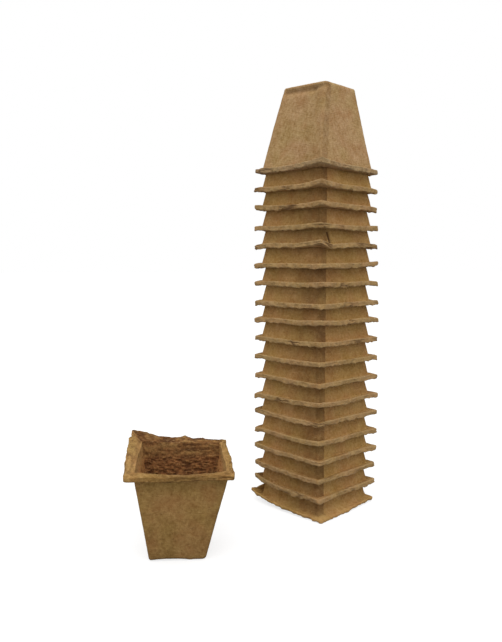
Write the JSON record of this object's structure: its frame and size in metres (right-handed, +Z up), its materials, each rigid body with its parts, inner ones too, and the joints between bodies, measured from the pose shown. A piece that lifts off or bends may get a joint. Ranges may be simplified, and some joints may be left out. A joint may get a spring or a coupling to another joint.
{
  "type": "peat pot",
  "caption": "Square tapered seedling pots moulded from peat fibre, with a ragged brim: a nest standing mouth down and one pot beside it, mouth up.",
  "frame": {"origin": "middle of the single pot's base, on the surface that all the pots stand on", "axes": "+Z up, out of the single pot's mouth; X and Y along that pot's sides, with -Y the side that faces the viewer; the nest stands behind it, towards +X and +Y"},
  "size_m": [0.2171, 0.1891, 0.3708],
  "materials": {
    "peat_fibre": "matte, fibrous"
  },
  "bodies": {
    "standing_pot": {"standing_pot": "peat_fibre"},
    "nest_pot_01": {"nest_pot_01": "peat_fibre"},
    "nest_pot_02": {"nest_pot_02": "peat_fibre"},
    "nest_pot_03": {"nest_pot_03": "peat_fibre"},
    "nest_pot_04": {"nest_pot_04": "peat_fibre"},
    "nest_pot_05": {"nest_pot_05": "peat_fibre"},
    "nest_pot_06": {"nest_pot_06": "peat_fibre"},
    "nest_pot_07": {"nest_pot_07": "peat_fibre"},
    "nest_pot_08": {"nest_pot_08": "peat_fibre"},
    "nest_pot_09": {"nest_pot_09": "peat_fibre"},
    "nest_pot_10": {"nest_pot_10": "peat_fibre"},
    "nest_pot_11": {"nest_pot_11": "peat_fibre"},
    "nest_pot_12": {"nest_pot_12": "peat_fibre"},
    "nest_pot_13": {"nest_pot_13": "peat_fibre"},
    "nest_pot_14": {"nest_pot_14": "peat_fibre"},
    "nest_pot_15": {"nest_pot_15": "peat_fibre"},
    "nest_pot_16": {"nest_pot_16": "peat_fibre"},
    "nest_pot_17": {"nest_pot_17": "peat_fibre"},
    "nest_pot_18": {"nest_pot_18": "peat_fibre"},
    "nest_pot_19": {"nest_pot_19": "peat_fibre"}
  },
  "joints": [
    {"name": "standing_pot_lift", "type": "slide", "parent": "nest_pot_01", "child": "standing_pot", "axis": [0, 0, 1], "range_m": [0, 0.09]},
    {"name": "nest_pot_02_lift", "type": "slide", "parent": "nest_pot_01", "child": "nest_pot_02", "axis": [0, 0, 1], "range_m": [0, 0.065]},
    {"name": "nest_pot_03_lift", "type": "slide", "parent": "nest_pot_02", "child": "nest_pot_03", "axis": [0, 0, 1], "range_m": [0, 0.065]},
    {"name": "nest_pot_04_lift", "type": "slide", "parent": "nest_pot_03", "child": "nest_pot_04", "axis": [0, 0, 1], "range_m": [0, 0.065]},
    {"name": "nest_pot_05_lift", "type": "slide", "parent": "nest_pot_04", "child": "nest_pot_05", "axis": [0, 0, 1], "range_m": [0, 0.065]},
    {"name": "nest_pot_06_lift", "type": "slide", "parent": "nest_pot_05", "child": "nest_pot_06", "axis": [0, 0, 1], "range_m": [0, 0.065]},
    {"name": "nest_pot_07_lift", "type": "slide", "parent": "nest_pot_06", "child": "nest_pot_07", "axis": [0, 0, 1], "range_m": [0, 0.065]},
    {"name": "nest_pot_08_lift", "type": "slide", "parent": "nest_pot_07", "child": "nest_pot_08", "axis": [0, 0, 1], "range_m": [0, 0.065]},
    {"name": "nest_pot_09_lift", "type": "slide", "parent": "nest_pot_08", "child": "nest_pot_09", "axis": [0, 0, 1], "range_m": [0, 0.065]},
    {"name": "nest_pot_10_lift", "type": "slide", "parent": "nest_pot_09", "child": "nest_pot_10", "axis": [0, 0, 1], "range_m": [0, 0.065]},
    {"name": "nest_pot_11_lift", "type": "slide", "parent": "nest_pot_10", "child": "nest_pot_11", "axis": [0, 0, 1], "range_m": [0, 0.065]},
    {"name": "nest_pot_12_lift", "type": "slide", "parent": "nest_pot_11", "child": "nest_pot_12", "axis": [0, 0, 1], "range_m": [0, 0.065]},
    {"name": "nest_pot_13_lift", "type": "slide", "parent": "nest_pot_12", "child": "nest_pot_13", "axis": [0, 0, 1], "range_m": [0, 0.065]},
    {"name": "nest_pot_14_lift", "type": "slide", "parent": "nest_pot_13", "child": "nest_pot_14", "axis": [0, 0, 1], "range_m": [0, 0.065]},
    {"name": "nest_pot_15_lift", "type": "slide", "parent": "nest_pot_14", "child": "nest_pot_15", "axis": [0, 0, 1], "range_m": [0, 0.065]},
    {"name": "nest_pot_16_lift", "type": "slide", "parent": "nest_pot_15", "child": "nest_pot_16", "axis": [0, 0, 1], "range_m": [0, 0.065]},
    {"name": "nest_pot_17_lift", "type": "slide", "parent": "nest_pot_16", "child": "nest_pot_17", "axis": [0, 0, 1], "range_m": [0, 0.065]},
    {"name": "nest_pot_18_lift", "type": "slide", "parent": "nest_pot_17", "child": "nest_pot_18", "axis": [0, 0, 1], "range_m": [0, 0.065]},
    {"name": "nest_pot_19_lift", "type": "slide", "parent": "nest_pot_18", "child": "nest_pot_19", "axis": [0, 0, 1], "range_m": [0, 0.065]}
  ]
}
